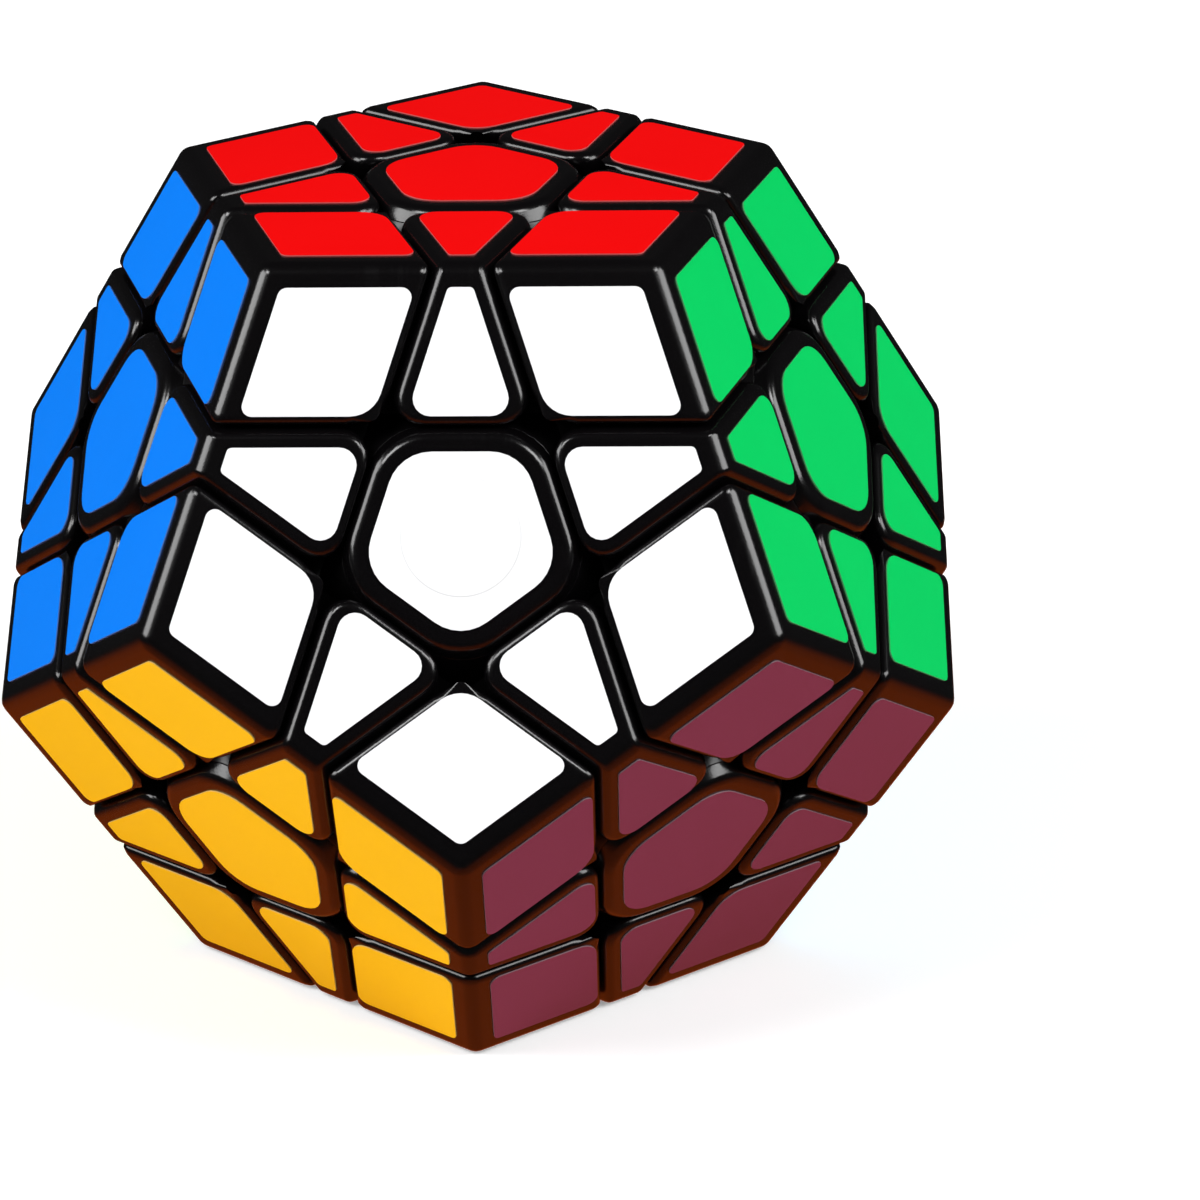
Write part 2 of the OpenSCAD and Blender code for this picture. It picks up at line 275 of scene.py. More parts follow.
class Effects:
    """Shader node groups that several finishes share.

    Attributes:
        cloud_scale: Frequency of the clouds that vary gloss and shade, per metre.
        mark_ways: Turn in radians of each family of handling marks, and its frequency across them.
        mark_length: Frequency along the marks, per metre.
        patch_scale: Frequency of the patches that marks gather in, per metre.
    """

    cloud_scale = 60.0
    mark_ways = ((0.6, 900.0), (2.1, 700.0))
    mark_length = 60.0
    patch_scale = 140.0

    def __init__(self) -> None:
        """Build the groups once."""
        self.surface = self._surface_group()
        self.scuffs = self._scuff_group()

    @staticmethod
    def _new_group(name: str, inputs: dict[str, float], outputs: tuple[str, ...]) -> bpy.types.NodeTree:
        """Make an empty group with float sockets.

        Args:
            name: The group's name.
            inputs: Each input's name and its default.
            outputs: The names of the outputs.

        Returns:
            The group, with its input and output nodes still to be added.
        """
        group = bpy.data.node_groups.new(name, "ShaderNodeTree")
        for label, default in inputs.items():
            socket = group.interface.new_socket(label, in_out="INPUT", socket_type="NodeSocketFloat")
            socket.default_value = default
        for label in outputs:
            group.interface.new_socket(label, in_out="OUTPUT", socket_type="NodeSocketFloat")
        return group

    def _surface_group(self) -> bpy.types.NodeTree:
        """Build the group that gives grain and a slow waviness as a height, and clouds as a mask."""
        inputs = {"Grain Scale": 3000.0, "Wave Scale": 120.0, "Grain": 0.5, "Wave": 0.5}
        group = self._new_group("moulded_surface", inputs, ("Height", "Clouds"))
        w = Wiring(group)
        given = w.add("NodeGroupInput")
        place = w.add("ShaderNodeTexCoord").outputs["Object"]
        grain = w.add("ShaderNodeTexNoise", vector=place, scale=given.outputs["Grain Scale"], detail=2.0)
        wave = w.add("ShaderNodeTexNoise", vector=place, scale=given.outputs["Wave Scale"], detail=1.0)
        cloud = w.add("ShaderNodeTexNoise", vector=place, scale=self.cloud_scale, detail=3.0)
        fine = w.math("MULTIPLY", grain.outputs[0], given.outputs["Grain"])
        slow = w.math("MULTIPLY", wave.outputs[0], given.outputs["Wave"])
        out = w.add("NodeGroupOutput")
        w.join(w.math("ADD", fine, slow), out.inputs["Height"])
        w.join(cloud.outputs[0], out.inputs["Clouds"])
        return group

    def _scuff_group(self) -> bpy.types.NodeTree:
        """Build the group that gives a mask of short, thin handling marks."""
        group = self._new_group("handling_marks", {"Density": 0.5, "Width": 0.02}, ("Mask",))
        w = Wiring(group)
        given = w.add("NodeGroupInput")
        place = w.add("ShaderNodeTexCoord").outputs["Object"]
        marks = []
        for turn, across in self.mark_ways:
            spot = w.add("ShaderNodeMapping", vector=place)
            spot.inputs["Rotation"].default_value = (turn, 0.4 * turn, 1.3 * turn)
            spot.inputs["Scale"].default_value = (across, self.mark_length, self.mark_length)
            lines = w.add("ShaderNodeTexNoise", vector=spot.outputs[0], scale=1.0, detail=0.0)
            off = w.math("ABSOLUTE", w.math("SUBTRACT", lines.outputs[0], 0.5))
            marks.append(w.math("LESS_THAN", off, given.outputs["Width"]))
        patch = w.add("ShaderNodeTexNoise", vector=place, scale=self.patch_scale, detail=1.0)
        worn = w.math("LESS_THAN", patch.outputs[0], given.outputs["Density"])
        out = w.add("NodeGroupOutput")
        w.join(w.math("MULTIPLY", w.math("MAXIMUM", *marks), worn), out.inputs["Mask"])
        return group


@dataclass(frozen=True)
class Finish:
    """One material: a colour, a gloss and how the surface varies.

    Attributes:
        name: The material's name.
        colour: Linear base colour.
        rough: Mean roughness.
        rough_spread: How far the clouds move the roughness.
        shade_spread: How far the clouds move the brightness of the colour.
        grain: Height share of the fine grain.
        wave: Height share of the slow waviness.
        bump: Distance of the bump in millimetres.
        relief: Strength of the bump.
        grain_scale: Frequency of the grain, per metre.
        wave_scale: Frequency of the waviness, per metre.
        specular: Specular level.
        metallic: 1 for metals.
        scuff: Share of the surface that carries handling marks.
        scuff_rough: Roughness that a mark adds.
    """

    name: str
    colour: tuple[float, float, float]
    rough: float = 0.3
    rough_spread: float = 0.08
    shade_spread: float = 0.04
    grain: float = 0.5
    wave: float = 0.5
    bump: float = 0.01
    grain_scale: float = 3000.0
    wave_scale: float = 120.0
    specular: float = 0.5
    metallic: float = 0.0
    scuff: float = 0.36
    scuff_rough: float = 0.04
    relief: float = 0.6

    def build(self, effects: Effects) -> bpy.types.Material:
        """Make the material.

        Args:
            effects: The shared node groups.

        Returns:
            The finished material.
        """
        material = bpy.data.materials.new(self.name)
        material.use_nodes = True
        tree = material.node_tree
        w = Wiring(tree)
        shader = tree.nodes["Principled BSDF"]
        shader.inputs["Metallic"].default_value = self.metallic
        shader.inputs["Specular IOR Level"].default_value = self.specular
        surface = w.add("ShaderNodeGroup", node_tree=effects.surface)
        for label in ("Grain", "Grain Scale", "Wave", "Wave Scale"):
            surface.inputs[label].default_value = getattr(self, label.lower().replace(" ", "_"))
        marks = w.add("ShaderNodeGroup", node_tree=effects.scuffs)
        marks.inputs["Density"].default_value = self.scuff
        cloud = w.math("SUBTRACT", surface.outputs["Clouds"], 0.5)
        rough = w.math("MULTIPLY_ADD", cloud, 2 * self.rough_spread, self.rough)
        worn = w.math("MULTIPLY_ADD", marks.outputs["Mask"], self.scuff_rough, rough)
        w.join(worn, shader.inputs["Roughness"])
        tone = w.add("ShaderNodeHueSaturation", color=(*self.colour, 1.0))
        w.join(w.math("MULTIPLY_ADD", cloud, 2 * self.shade_spread, 1.0), tone.inputs["Value"])
        w.join(tone.outputs[0], shader.inputs["Base Color"])
        relief = w.add("ShaderNodeBump", strength=self.relief, distance=self.bump * MM)
        w.join(surface.outputs["Height"], relief.inputs["Height"])
        w.join(relief.outputs[0], shader.inputs["Normal"])
        return material


def srgb(red: int, green: int, blue: int) -> tuple[float, float, float]:
    """Turn a display colour into linear light.

    Args:
        red: Red from 0 to 255.
        green: Green from 0 to 255.
        blue: Blue from 0 to 255.

    Returns:
        The three linear values.
    """
    def linear(value: float) -> float:
        """Undo the display curve of one channel."""
        return value / 12.92 if value <= 0.04045 else ((value + 0.055) / 1.055) ** 2.4
    return linear(red / 255), linear(green / 255), linear(blue / 255)


class Vinyl(Enum):
    """Sticker colours by face."""

    RED = srgb(236, 0, 2)
    WHITE = srgb(234, 234, 236)
    GREEN = srgb(0, 196, 92)
    CREAM = srgb(240, 226, 170)
    PINK = srgb(244, 120, 170)
    BLUE = srgb(0, 122, 238)
    PURPLE = srgb(107, 42, 68)
    SKY = srgb(120, 200, 240)
    GREY = srgb(128, 130, 134)
    LIME = srgb(150, 214, 30)
    YELLOW = srgb(243, 184, 16)
    ORANGE = srgb(250, 110, 10)


class Finishes:
    """Every material of the puzzle, built once.

    Attributes:
        rim_share: Share of a sticker's colour that its cut rim keeps; with rim_white this paints a thin line
            of edge light and shade on the rim, paler on dark vinyl and greyer on light vinyl.
        rim_white: White that the cut rim adds, part of that painted edge line.
    """

    rim_share = 0.7
    rim_white = 0.12

    def __init__(self) -> None:
        """Build the shared effects and the materials."""
        effects = Effects()
        black = srgb(6, 5, 6)
        steel = srgb(190, 190, 194)
        recipes = {
            "shell": Finish("black_shell_plastic", black, 0.2, rough_spread=0.05, grain=0.6, bump=0.02,
                            grain_scale=5000.0),
            "cap": Finish("black_cap_plastic", black, 0.18, rough_spread=0.05, bump=0.02, grain_scale=5000.0),
            "centre": Finish("black_centre_plastic", black, 0.3, bump=0.02),
            "foot": Finish("black_foot_plastic", srgb(12, 11, 12), 0.42, bump=0.03, grain=0.8),
            "core": Finish("core_plastic", srgb(70, 70, 74), 0.45, bump=0.03, grain=0.8),
            "screw": Finish("screw_steel", steel, 0.22, metallic=1.0, bump=0.008, scuff=0.5),
            "spring": Finish("spring_steel", srgb(170, 168, 164), 0.3, metallic=1.0, bump=0.006),
            "washer": Finish("washer_steel", steel, 0.28, metallic=1.0, bump=0.008, scuff=0.5),
        }
        self.by_name = {key: finish.build(effects) for key, finish in recipes.items()}
        self.vinyl: dict[Face, bpy.types.Material] = {}
        self.rim: dict[Face, bpy.types.Material] = {}
        for face in Face:
            colour = Vinyl[face.name].value
            # The rim tone is painted light and shade: a thin edge line, paler on dark vinyl and greyer on
            # light vinyl.
            pale = tuple(self.rim_share * c + self.rim_white for c in colour)
            vinyl = Finish(f"vinyl_{face.label}", colour, 0.22, rough_spread=0.04, shade_spread=0.02,
                           grain=0.12, wave=0.9, bump=0.02, wave_scale=210.0, specular=0.35,
                           scuff_rough=0.02)
            self.vinyl[face] = vinyl.build(effects)
            self.rim[face] = Finish(f"vinyl_rim_{face.label}", pale, 0.4).build(effects)


# ---- Moulded pieces ----


@dataclass(frozen=True)
class Rounding:
    """How the edges of a block are rounded, in metres.

    Attributes:
        upright: How far the edge between two walls is rolled back on each wall.
        rim: Radius between an outer plane and a wall.
        ridge: How far the edge between two outer planes is rolled back on each.
    """

    upright: float
    rim: float = 0.85 * MM
    ridge: float = 1.0 * MM


@dataclass(frozen=True)
class Moulding:
    """Makes rounded blocks and cuts CAD solids with them.

    Attributes:
        solid: The puzzle's directions and distances.
        vinyl: Thickness of the stickers, by which the outer planes stand back.
        skin: How far a block's walls stand inside the CAD walls.
        segments: Steps across a rolled rim or ridge.
        weld: Distance under which a CAD mesh's corners are one.
        corner: The roll of a corner shell.
        edge: The roll of an edge shell.
        cap: The roll of a centre's cap.
        body: The roll of a centre's body, whose rim is hidden under the cap.
    """

    solid: Dodecahedron
    vinyl: float
    skin: float = 0.01 * MM
    segments: int = 5
    weld: float = 0.0005 * MM
    corner: Rounding = Rounding(3.05 * MM)
    edge: Rounding = Rounding(3.5 * MM)
    cap: Rounding = Rounding(3.78 * MM, rim=1.15 * MM)
    body: Rounding = Rounding(3.78 * MM, rim=0.15 * MM)

    def planes(self, faces: tuple[Face, ...], low: float, top: float) -> list[Plane]:
        """List the planes round a piece.

        Args:
            faces: The faces that the piece shows.
            low: Height of the hidden bottom along the piece's own axis.
            top: Distance of the outer planes from the core.

        Returns:
            The outer planes, the walls and the hidden bottom.
        """
        s = self.solid
        found = [Plane(-s.axis(*faces), -low, "hidden")]
        found += [Plane(s.normal(f), top, "outer") for f in faces]
        if len(faces) > 1:
            found += [Plane(-s.normal(f), -(s.cut_out + self.skin), "cut") for f in faces]
        if len(faces) < 3:
            found += [Plane(s.normal(f), s.cut_in - self.skin, "cut") for f in s.neighbours(*faces)]
        return found

    def block(self, mesh: bmesh.types.BMesh, planes: list[Plane], rounding: Rounding) -> None:
        """Add one convex block with round uprights and bevel weights to a mesh.

        Args:
            mesh: The mesh that the block joins.
            planes: The half-spaces that bound it.
            rounding: The roll of each kind of edge.
        """
        part = bmesh.new()
        bmesh.ops.create_cube(part, size=6 * self.solid.inradius)
        for plane in planes:
            bmesh.ops.bisect_plane(part, geom=part.verts[:] + part.edges[:] + part.faces[:],
                                   plane_co=plane.normal * plane.offset, plane_no=plane.normal,
                                   clear_outer=True)
            bmesh.ops.contextual_create(part, geom=[e for e in part.edges if e.is_boundary])
        bmesh.ops.recalc_face_normals(part, faces=part.faces[:])
        uprights = [e for e in part.edges if self._roles(e, planes) == ["cut", "cut"]]
        bmesh.ops.bevel(part, geom=uprights, offset=rounding.upright, offset_type="OFFSET",
                        profile=0.5, segments=self.segments + 1, affect="EDGES", clamp_overlap=False)
        layer = part.edges.layers.float.new("bevel_weight_edge")
        for edge in part.edges:
            edge[layer] = self._roll(edge, planes, rounding) / rounding.ridge
        bmesh.ops.translate(part, verts=part.verts[:], vec=self.solid.core)
        scratch = bpy.data.meshes.new("block")
        part.to_mesh(scratch)
        mesh.from_mesh(scratch)
        part.free()
        bpy.data.meshes.remove(scratch)

    @staticmethod
    def _roles(edge: bmesh.types.BMEdge, planes: list[Plane]) -> list[str]:
        """Return, in order, what the two faces at an edge are to the block."""
        nearest = [max(planes, key=lambda p: p.normal.dot(f.normal)) for f in edge.link_faces]
        return sorted(p.role for p in nearest)

    def _roll(self, edge: bmesh.types.BMEdge, planes: list[Plane], rounding: Rounding) -> float:
        """Return how far an edge is rolled back once the uprights are round."""
        roles = self._roles(edge, planes)
        if roles == ["outer", "outer"]:
            return rounding.ridge
        if roles == ["cut", "outer"]:
            return rounding.rim * math.tan(edge.calc_face_angle(0.0) / 2)
        return 0.0

    def carve(self, name: str, node: str, groups: list[tuple[Face, ...]], low: float, top: float,
              rounding: Rounding, material: bpy.types.Material) -> bpy.types.Object:
        """Cut a CAD node's solids with rounded blocks.

        Args:
            name: The new piece's name.
            node: The CAD node that it is cut from.
            groups: The faces that each of the node's solids shows.
            low: Height of the blocks' hidden bottom along each solid's own axis.
            top: Distance of the outer planes from the core.
            rounding: The roll of each kind of edge.
            material: The piece's finish.

        Returns:
            The piece, as a closed mesh at the origin.
        """
        source = bmesh.new()
        source.from_mesh(bpy.data.objects[node].data)
        bmesh.ops.remove_doubles(source, verts=source.verts[:], dist=self.weld)
        raw = new_object(f"{name}_raw", source)
        blocks = bmesh.new()
        blocks.edges.layers.float.new("bevel_weight_edge")
        for faces in groups:
            self.block(blocks, self.planes(faces, low, top), rounding)
        cutter = new_object(f"{name}_block", blocks)
        add_bevel(cutter, rounding.ridge, self.segments)
        cutter = frozen(cutter, f"{name}_cutter")
        cut = raw.modifiers.new("cut", "BOOLEAN")
        cut.operation = "INTERSECT"
        cut.solver = "MANIFOLD"
        cut.object = cutter
        piece = frozen(raw, name)
        bpy.data.objects.remove(cutter)
        smooth(piece)
        piece.data.materials.clear()
        piece.data.materials.append(material)
        return piece


def linked(name: str, data: bpy.types.ID) -> bpy.types.Object:
    """Make an object of some data and link it to the scene."""
    obj = bpy.data.objects.new(name, data)
    bpy.context.scene.collection.objects.link(obj)
    return obj


def new_object(name: str, mesh: bmesh.types.BMesh) -> bpy.types.Object:
    """Turn a bmesh into a linked object and free it.

    Args:
        name: The object's name.
        mesh: The mesh to use up.

    Returns:
        The new object.
    """
    data = bpy.data.meshes.new(name)
    mesh.to_mesh(data)
    mesh.free()
    return linked(name, data)


def frozen(obj: bpy.types.Object, name: str) -> bpy.types.Object:
    """Replace an object by the plain mesh that its modifiers give.

    Args:
        obj: The object, which is removed.
        name: The name of the object that stays.

    Returns:
        The plain object.
    """
    graph = bpy.context.evaluated_depsgraph_get()
    data = bpy.data.meshes.new_from_object(obj.evaluated_get(graph))
    old = obj.data
    bpy.data.objects.remove(obj)
    if old.users == 0:
        bpy.data.meshes.remove(old)
    data.name = name
    return linked(name, data)


def add_bevel(obj: bpy.types.Object, width: float, segments: int) -> None:
    """Add a bevel that follows the edges' weights.

    Args:
        obj: The object to bevel.
        width: Offset at a weight of 1.
        segments: Steps across the round.
    """
    bevel = obj.modifiers.new("roll", "BEVEL")
    bevel.limit_method = "WEIGHT"
    bevel.offset_type = "OFFSET"
    bevel.width = width
    bevel.segments = segments
    bevel.use_clamp_overlap = False


def smooth(obj: bpy.types.Object) -> None:
    """Shade an object smoothly, with sharp edges kept and flat faces kept flat.

    Args:
        obj: The object to shade.
    """
    mesh = bmesh.new()
    mesh.from_mesh(obj.data)
    bmesh.ops.dissolve_degenerate(mesh, dist=SLIVER, edges=mesh.edges[:])
    for face in mesh.faces:
        face.smooth = True
    for edge in mesh.edges:
        edge.smooth = len(edge.link_faces) == 2 and edge.calc_face_angle(0.0) < SHARP_FROM
    mesh.to_mesh(obj.data)
    mesh.free()
    weigh = obj.modifiers.new("flat_faces", "WEIGHTED_NORMAL")
    weigh.keep_sharp = True
    weigh.weight = 90


def stand_in(piece: bpy.types.Object, node: str, body: str) -> None:
    """Put a piece in place of a CAD node.

    Args:
        piece: The finished piece.
        node: The CAD node that it stands for.
        body: The body that it moves with.
    """
    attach(piece, body)
    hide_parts(node)
    log.info("%s: %d faces, rides on %s", piece.name, len(piece.data.polygons), body)


class Shells:
    """The thirty edge shells and twenty corner shells.

    Attributes:
        below_seat: How far a block's hidden bottom lies under the shells' seat.
    """

    below_seat = 0.3 * MM

    def __init__(self, moulding: Moulding, finishes: Finishes) -> None:
        """Keep what the shells are made with."""
        self.moulding = moulding
        self.finishes = finishes

    def build(self) -> None:
        """Make every shell, one piece for each CAD node."""
        solid = self.moulding.solid
        for kind, groups in (("edge", solid.edges()), ("corner", solid.corners())):
            fixed = [g for g in groups if body_of(g) == FIXED_BODY]
            for group in groups:
                if group not in fixed:
                    self._make(self._node(kind, group), kind, [group])
            self._make(f"fixed_{kind}s", kind, fixed)

    @staticmethod
    def _node(kind: str, faces: tuple[Face, ...]) -> str:
        """Find the CAD node of a moving shell by its set of colours."""
        wanted = {f.label for f in faces}
        return next(o.name for o in bpy.data.objects
                    if o.name.startswith(f"{kind}_") and set(o.name.split("_")[1:]) == wanted)

    def _make(self, node: str, kind: str, groups: list[tuple[Face, ...]]) -> None:
        """Make the piece that stands for one node of shells."""
        m = self.moulding
        rounding, seat = (m.edge, m.solid.edge_seat) if kind == "edge" else (m.corner, m.solid.corner_seat)
        piece = m.carve(f"{node}_moulded", node, groups, seat - self.below_seat,
                        m.solid.inradius - m.vinyl, rounding, self.finishes.by_name["shell"])
        stand_in(piece, node, body_of(groups[0]))


class Centres:
    """The twelve centres and their caps.

    Attributes:
        parting: Width of the fine line between a centre's body and its cap.
    """

    parting = 0.04 * MM

    def __init__(self, moulding: Moulding, finishes: Finishes) -> None:
        """Keep what the centres are made with."""
        self.moulding = moulding
        self.finishes = finishes

    def build(self) -> None:
        """Make every centre's body, the moving caps and the fixed caps."""
        m = self.moulding
        s = m.solid
        for face in Face:
            piece = m.carve(f"centre_{face.label}_moulded", f"centre_{face.label}", [(face,)], 0.0,
                            s.cap_low - self.parting, m.body, self.finishes.by_name["centre"])
            stand_in(piece, f"centre_{face.label}", body_of((face,)))
        fixed = [(f,) for f in Face if f not in TURNING]
        for node, groups in [(f"cap_{f.label}", [(f,)]) for f in TURNING] + [("fixed_caps", fixed)]:
            piece = m.carve(f"{node}_moulded", node, groups, s.cut_out, s.inradius - m.vinyl,
                            m.cap, self.finishes.by_name["cap"])
            stand_in(piece, node, body_of(groups[0]))


# ---- Stickers ----


class Outline(IntEnum):
    """The three outlines that the stickers are cut to."""

    PENTAGON = 0
    TRAPEZOID = 1
    RHOMBUS = 2


@dataclass(frozen=True)
class StickerSizes:
    """Sizes of the cut vinyl.

    Attributes:
        cut_margin: Bare plastic from a cut's middle to an edge's or corner's vinyl.
        centre_margin: Bare plastic from a cut's middle to a centre's vinyl.
        ridge_margin: Bare plastic from a ridge to the vinyl.
        thickness: Thickness of the vinyl.
        centre_round: Corner radius of a centre's pentagon.
        base_round: Radius of an edge sticker's two inner corners.
        tip_round: Radius of an edge sticker's two outer corners.
        inner_round: Radius of a corner sticker's inner corner.
        outer_round: Radius of a corner sticker's other corners.
    """

    cut_margin: float = 1.4 * MM
    centre_margin: float = 1.8 * MM
    ridge_margin: float = 2.2 * MM
    thickness: float = 0.12 * MM
    centre_round: float = 4.0 * MM
    base_round: float = 1.6 * MM
    tip_round: float = 0.5 * MM
    inner_round: float = 3.0 * MM
    outer_round: float = 0.9 * MM


class Stickers:
    """The vinyl on every face, made by one geometry tree from points on the faces."""

    def __init__(self, solid: Dodecahedron, finishes: Finishes, sizes: StickerSizes) -> None:
        """Keep the sizes and build the tree."""
        self.solid = solid
        self.finishes = finishes
        self.sizes = sizes
        self.near = solid.cut_line + sizes.cut_margin
        self.far = solid.apothem - sizes.ridge_margin
        self.inner = solid.cut_line - sizes.cut_margin
        self.tree = self._tree()

    def _half_width(self, distance: float) -> float:
        """Return half an edge sticker's width at a distance from the face's centre."""
        return (self.inner - distance * math.cos(STEP)) / math.sin(STEP)

    def _inputs(self, face: Face) -> dict[str, object]:
        """List the tree's named inputs and their values for a face."""
        z = self.sizes
        deep = self.far - self.near
        side = deep / math.sin(STEP)
        return {
            "Pentagon Radius": (self.solid.cut_line - z.centre_margin) / math.cos(STEP / 2),
            "Trapezoid Base": 2 * self._half_width(self.near),
            "Trapezoid Tip": 2 * self._half_width(self.far),
            "Trapezoid Height": deep,
            "Rhombus Width": 2 * side * math.cos(STEP / 2),
            "Rhombus Half Height": side * math.sin(STEP / 2),
            "Centre Round": z.centre_round,
            "Base Round": z.base_round,
            "Tip Round": z.tip_round,
            "Inner Round": z.inner_round,
            "Outer Round": z.outer_round,
            "Thickness": z.thickness,
            "Vinyl": self.finishes.vinyl[face],
            "Rim": self.finishes.rim[face],
        }

    def _tree(self) -> bpy.types.NodeTree:
        """Build the tree that cuts, thickens and places the stickers."""
        tree = geometry_tree("cut_vinyl", self._inputs(Face.WHITE))
        w = Wiring(tree)
        given = w.add("NodeGroupInput").outputs
        index = w.add("GeometryNodeInputIndex").outputs[0]
        pentagon = w.add("GeometryNodeCurvePrimitiveCircle", resolution=5, radius=given["Pentagon Radius"])
        trapezoid = w.add("GeometryNodeCurvePrimitiveQuadrilateral", mode="TRAPEZOID", offset=0.0,
                          bottom_width=given["Trapezoid Base"], top_width=given["Trapezoid Tip"],
                          height=given["Trapezoid Height"])
        rhombus = w.add("GeometryNodeCurvePrimitiveQuadrilateral", mode="KITE",
                        width=given["Rhombus Width"], bottom_height=given["Rhombus Half Height"],
                        top_height=given["Rhombus Half Height"])
        is_base = w.math("GREATER_THAN", index, 1.5)
        is_inner = w.math("LESS_THAN", index, 0.5)
        rounds = (
            given["Centre Round"],
            self._choose(w, is_base, given["Tip Round"], given["Base Round"]),
            self._choose(w, is_inner, given["Outer Round"], given["Inner Round"]),
        )
        outlines = w.add("GeometryNodeJoinGeometry")
        for curve, radius in reversed(list(zip((pentagon, trapezoid, rhombus), rounds))):
            fillet = w.add("GeometryNodeFilletCurve", mode="POLY", count=6, limit_radius=True,
                           curve=curve.outputs[0], radius=radius)
            vinyl = self._thicken(w, fillet.outputs[0], given)
            one = w.add("GeometryNodeGeometryToInstance", geometry=vinyl)
            w.join(one.outputs[0], outlines.inputs[0])
        kind = w.add("GeometryNodeInputNamedAttribute", data_type="INT", name="outline")
        turn = w.add("GeometryNodeInputNamedAttribute", data_type="QUATERNION", name="turn")
        placed = w.add("GeometryNodeInstanceOnPoints", points=given["Geometry"],
                       instance=outlines.outputs[0], pick_instance=True,
                       instance_index=kind.outputs[0], rotation=turn.outputs[0])
        real = w.add("GeometryNodeRealizeInstances", geometry=placed.outputs[0])
        out = w.add("NodeGroupOutput")
        w.join(real.outputs[0], out.inputs[0])
        return tree

    @staticmethod
    def _choose(w: Wiring, switch: bpy.types.NodeSocket, no: bpy.types.NodeSocket,
                yes: bpy.types.NodeSocket) -> bpy.types.NodeSocket:
        """Blend from one value to another as a 0 or 1 switch says."""
        rise = w.math("SUBTRACT", yes, no)
        return w.math("MULTIPLY_ADD", switch, rise, no)

    @staticmethod
    def _thicken(w: Wiring, curve: bpy.types.NodeSocket, given: object) -> bpy.types.NodeSocket:
        """Fill an outline and raise it to a closed sheet whose rim takes the rim finish, a painted edge line
        of light and shade.
        """
        sheet = w.add("GeometryNodeFillCurve", mode="NGONS", curve=curve)
        raised = w.add("GeometryNodeExtrudeMesh", mode="FACES", mesh=sheet.outputs[0],
                       offset_scale=given["Thickness"], individual=False)
        vinyl = w.add("GeometryNodeSetMaterial", geometry=raised.outputs["Mesh"], material=given["Vinyl"])
        rim = w.add("GeometryNodeSetMaterial", geometry=vinyl.outputs[0], material=given["Rim"])
        w.join(raised.outputs["Side"], rim.inputs["Selection"])
        under = w.add("GeometryNodeFlipFaces", mesh=sheet.outputs[0])
        under = w.add("GeometryNodeSetMaterial", geometry=under.outputs[0], material=given["Vinyl"])
        both = w.add("GeometryNodeJoinGeometry")
        w.join(under.outputs[0], both.inputs[0])
        w.join(rim.outputs[0], both.inputs[0])
        closed = w.add("GeometryNodeMergeByDistance", geometry=both.outputs[0], distance=0.002 * MM)
        return closed.outputs[0]

    def _places(self) -> dict[tuple[Face, str], list[tuple[Outline, Vector, Vector]]]:
        """List the stickers by face and body, each as an outline, a place in the face and a heading."""
        s = self.solid
        found: dict[tuple[Face, str], list[tuple[Outline, Vector, Vector]]] = {}
        middle = (self.near + self.far) / 2
        for face in Face:
            way = s.across(face, s.neighbours(face)[0]).cross(s.normal(face))
            found.setdefault((face, body_of((face,))), []).append((Outline.PENTAGON, Vector(), way))
        for group in s.edges():
            for face in group:
                other = next(f for f in group if f != face)
                way = s.across(face, other)
                found.setdefault((face, body_of(group)), []).append((Outline.TRAPEZOID, way * middle, way))
        for group in s.corners():
            for face in group:
                way = sum((s.across(face, f) for f in group if f != face), Vector()).normalized()
                out = middle / math.cos(STEP / 2)
                found.setdefault((face, body_of(group)), []).append((Outline.RHOMBUS, way * out, way))
        return found

    def build(self) -> None:
        """Make one mesh of stickers for each face and body."""
        s = self.solid
        height = s.inradius - self.sizes.thickness
        for (face, body), places in self._places().items():
            up = s.normal(face)
            turns = [Matrix((way.cross(up), way, up)).transposed().to_quaternion() for _, _, way in places]
            layer = body.replace("_layer", "").replace(FIXED_BODY, "fixed")
            piece = spread(f"stickers_{face.label}_on_{layer}", self.tree, self._inputs(face),
                           [s.core + up * height + place for _, place, _ in places], turns,
                           [int(outline) for outline, _, _ in places])
            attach(piece, body)
            log.info("%s: %d stickers, rides on %s", piece.name, len(places), body)


@dataclass(frozen=True)
class CentreDisc:
    """The faint raised disc on the white centre's vinyl.

    Attributes:
        radius: Radius of the disc's foot.
        slope: How far the top draws in from the foot.
        height: How far the disc stands up.
        steps: Points round the disc.
    """

    radius: float = 5.5 * MM
    slope: float = 0.12 * MM
    height: float = 0.04 * MM
    steps: int = 96

    def build(self, solid: Dodecahedron, finishes: Finishes) -> None:
        """Turn the disc and lay it on the white centre's vinyl."""
        up = solid.normal(Face.WHITE)
        mesh = bmesh.new()
        bmesh.ops.create_cone(mesh, cap_ends=True, segments=self.steps, radius1=self.radius,
                              radius2=self.radius - self.slope, depth=self.height)
        place = Vector((0, 0, 1)).rotation_difference(up).to_matrix().to_4x4()
        place.translation = solid.core + up * (solid.inradius + self.height / 2)
        bmesh.ops.transform(mesh, matrix=place, verts=mesh.verts[:])
        # The disc's side takes the rim finish, whose greyer tone on white is painted shade that shows the
        # disc's edge.
        for face in mesh.faces:
            face.material_index = 1 if len(face.verts) == 4 else 0
        piece = new_object("raised_disc_white", mesh)
        piece.data.materials.append(finishes.vinyl[Face.WHITE])
        piece.data.materials.append(finishes.rim[Face.WHITE])
        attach(piece, body_of((Face.WHITE,)))
        log.info("%s: laid on the white centre", piece.name)


